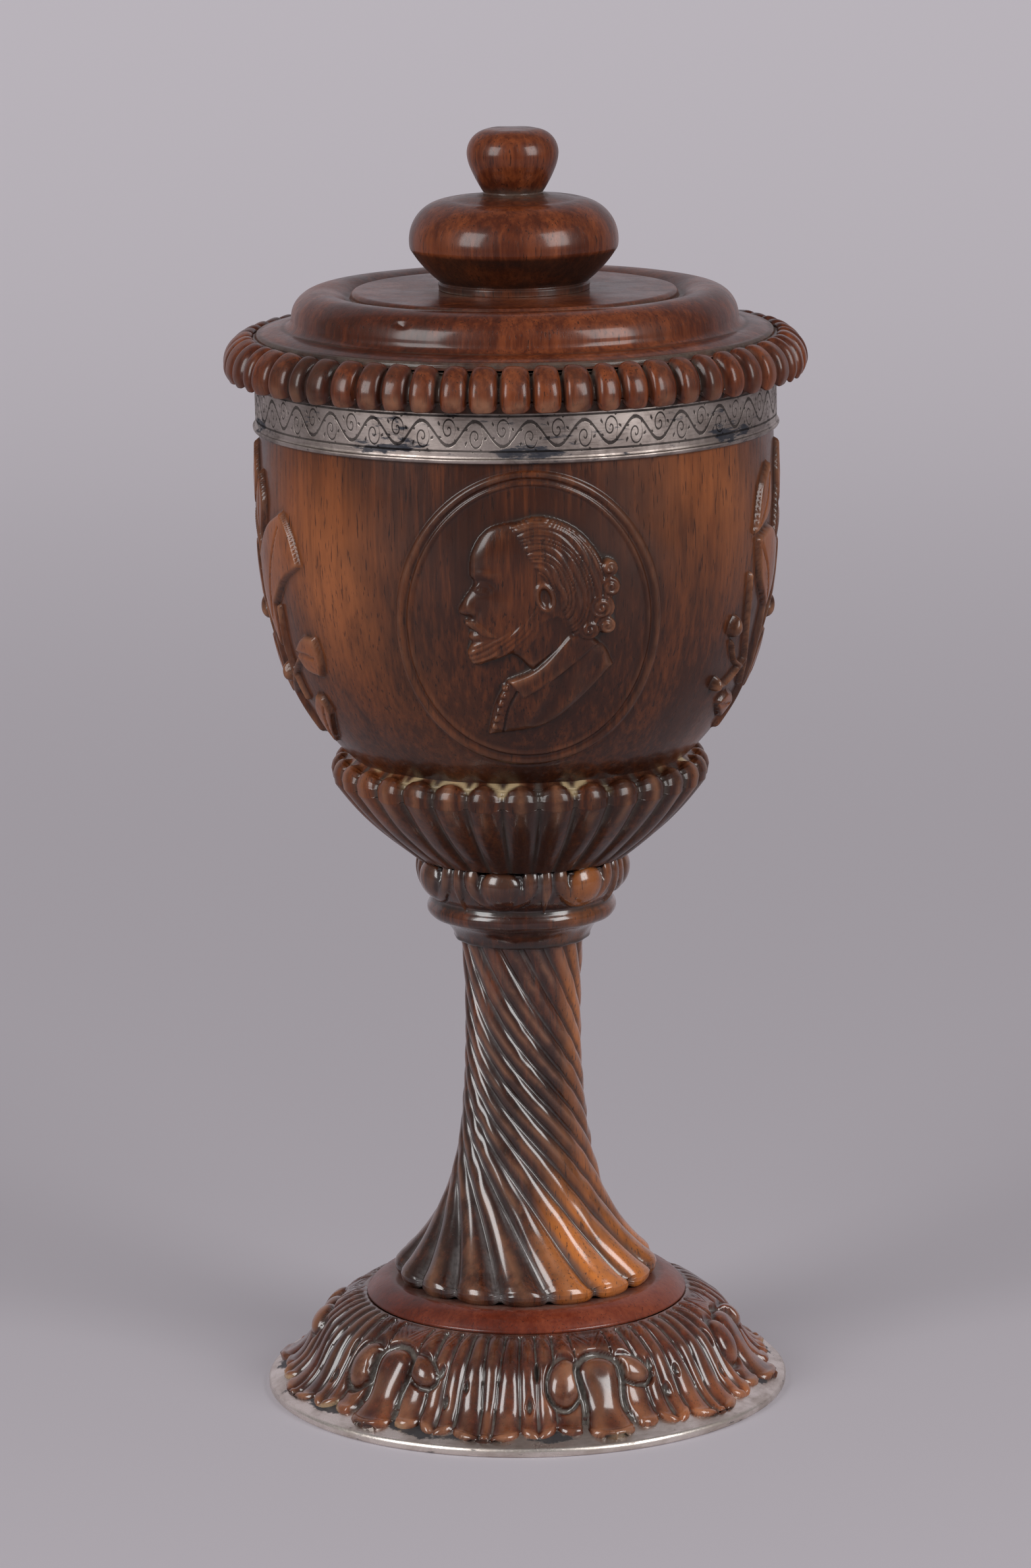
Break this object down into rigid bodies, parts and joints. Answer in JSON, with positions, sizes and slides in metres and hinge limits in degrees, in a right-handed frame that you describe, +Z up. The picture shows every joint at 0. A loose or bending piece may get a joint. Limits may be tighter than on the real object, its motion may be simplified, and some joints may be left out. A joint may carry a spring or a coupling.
{
  "type": "treen covered cup",
  "caption": "Standing cup of turned and carved wood with a lift-off cover, twisted reeded stem, leaf-carved foot, oval portrait medallion and silver band and foot ring.",
  "frame": {"origin": "centre of the foot ring's underside, on the table", "axes": "+Z up along the cup's axis, -Y towards the portrait medallion, +X to the right as one faces it"},
  "size_m": [0.1268, 0.1268, 0.28],
  "materials": {
    "silver": "worn silver, dull on the band and brighter on the foot ring, with dark tarnish",
    "foot_wood": "waxed red-brown wood with grey dust in the carving",
    "stem_wood": "waxed brown wood with amber patches and grey dust in the grooves",
    "bowl_wood": "waxed dark brown wood with upright grain",
    "cover_wood": "waxed reddish brown wood, satin"
  },
  "bodies": {
    "root": {"foot_mount": "silver", "foot": "foot_wood", "stem": "stem_wood", "bowl": "bowl_wood", "rim_mount": "silver", "cover": "cover_wood", "finial": "cover_wood"}
  },
  "joints": []
}
